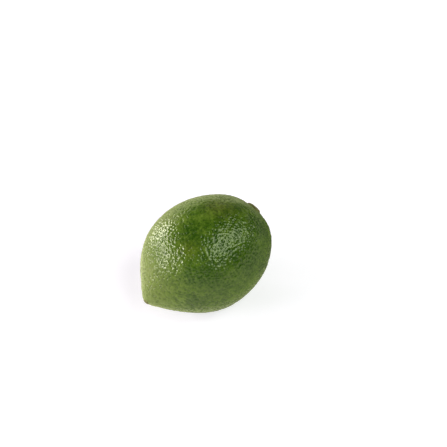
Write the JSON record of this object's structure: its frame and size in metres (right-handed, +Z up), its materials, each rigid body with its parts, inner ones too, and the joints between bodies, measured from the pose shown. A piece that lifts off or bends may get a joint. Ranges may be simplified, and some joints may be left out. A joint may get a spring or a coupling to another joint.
{
  "type": "lime",
  "caption": "Whole green lime, as picked: oval pitted fruit with a blunt nipple and a dried calyx button, lying on a small flat spot.",
  "frame": {"origin": "centre of the flat spot that the lime rests on, on the surface under it", "axes": "+X along the lime from nipple to stem end, +Z up as it lies"},
  "size_m": [0.065, 0.0523, 0.0514],
  "materials": {
    "peel": "waxy green peel, finely pitted"
  },
  "bodies": {
    "root": {"lime": "peel"}
  },
  "joints": []
}
